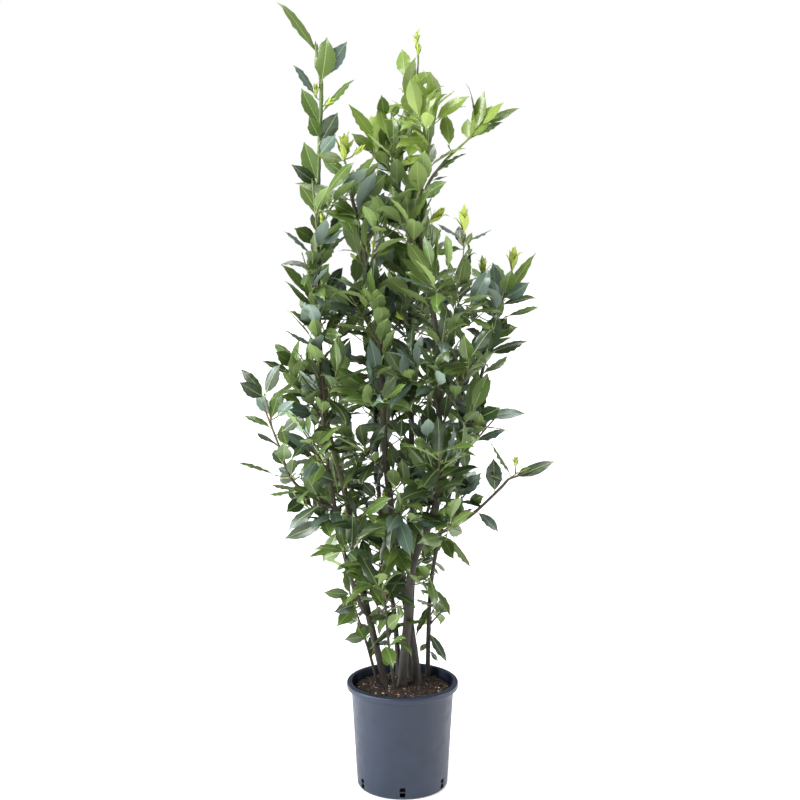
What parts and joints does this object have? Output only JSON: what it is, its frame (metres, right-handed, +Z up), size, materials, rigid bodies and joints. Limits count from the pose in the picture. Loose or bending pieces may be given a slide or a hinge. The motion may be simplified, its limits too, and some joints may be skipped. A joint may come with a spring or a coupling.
{
  "type": "multi-stemmed bay laurel bush in a nursery pot",
  "caption": "Bay laurel grown as an open, upright bush of slender leafy stems, in a round blue-grey plastic nursery pot of compost.",
  "frame": {"origin": "middle of the flat underside of the pot, on the surface that it stands on", "axes": "+Z up along the pot, -Y towards the side that the picture was taken from, +X to the right in that view"},
  "size_m": [0.7562, 0.5904, 1.7833],
  "materials": {
    "pot_plastic": "satin blue-grey moulded plastic",
    "compost": "moist bark and coir compost, rough",
    "bark": "smooth grey-brown bark with pale marks",
    "young_bark": "young brown and olive bark, smooth",
    "leaves": "glossy dark green leaves, paler below"
  },
  "bodies": {
    "root": {"pot": "pot_plastic", "soil": "compost", "stem_left": "bark", "stem_centre": "bark", "stem_crossing": "bark", "stem_rear": "bark", "stem_rear_left": "bark", "stem_right": "bark", "stem_sprout": "bark", "stem_sprig": "bark", "bough_left_fork": "young_bark", "bough_left_low": "young_bark", "bough_right_low": "young_bark", "bough_top_right": "young_bark", "bough_back_left": "young_bark", "bough_back_right": "young_bark", "foliage_left_tip": "leaves", "foliage_centre_tip": "leaves", "foliage_crossing_tip": "leaves", "foliage_rear_tip": "leaves", "foliage_rear_left_tip": "leaves", "foliage_right_tip": "leaves", "foliage_sprout_tip": "leaves", "foliage_sprig_tip": "leaves", "foliage_left_fork_tip": "leaves", "foliage_left_low_tip": "leaves", "foliage_right_low_tip": "leaves", "foliage_top_right_tip": "leaves", "foliage_back_left_tip": "leaves", "foliage_back_right_tip": "leaves", "foliage_left_1": "leaves", "foliage_left_2": "leaves", "foliage_left_3": "leaves", "foliage_left_4": "leaves", "foliage_left_5": "leaves", "foliage_left_6": "leaves", "foliage_left_fork_1": "leaves", "foliage_left_fork_2": "leaves", "foliage_centre_1": "leaves", "foliage_centre_2": "leaves", "foliage_centre_3": "leaves", "foliage_centre_4": "leaves", "foliage_centre_5": "leaves", "foliage_centre_6": "leaves", "foliage_centre_7": "leaves", "foliage_crossing_1": "leaves", "foliage_crossing_2": "leaves", "foliage_crossing_3": "leaves", "foliage_crossing_4": "leaves", "foliage_crossing_5": "leaves", "foliage_rear_1": "leaves", "foliage_rear_2": "leaves", "foliage_rear_3": "leaves", "foliage_rear_4": "leaves", "foliage_rear_5": "leaves", "foliage_rear_left_1": "leaves", "foliage_rear_left_2": "leaves", "foliage_right_1": "leaves", "foliage_right_2": "leaves", "foliage_right_3": "leaves"}
  },
  "joints": []
}
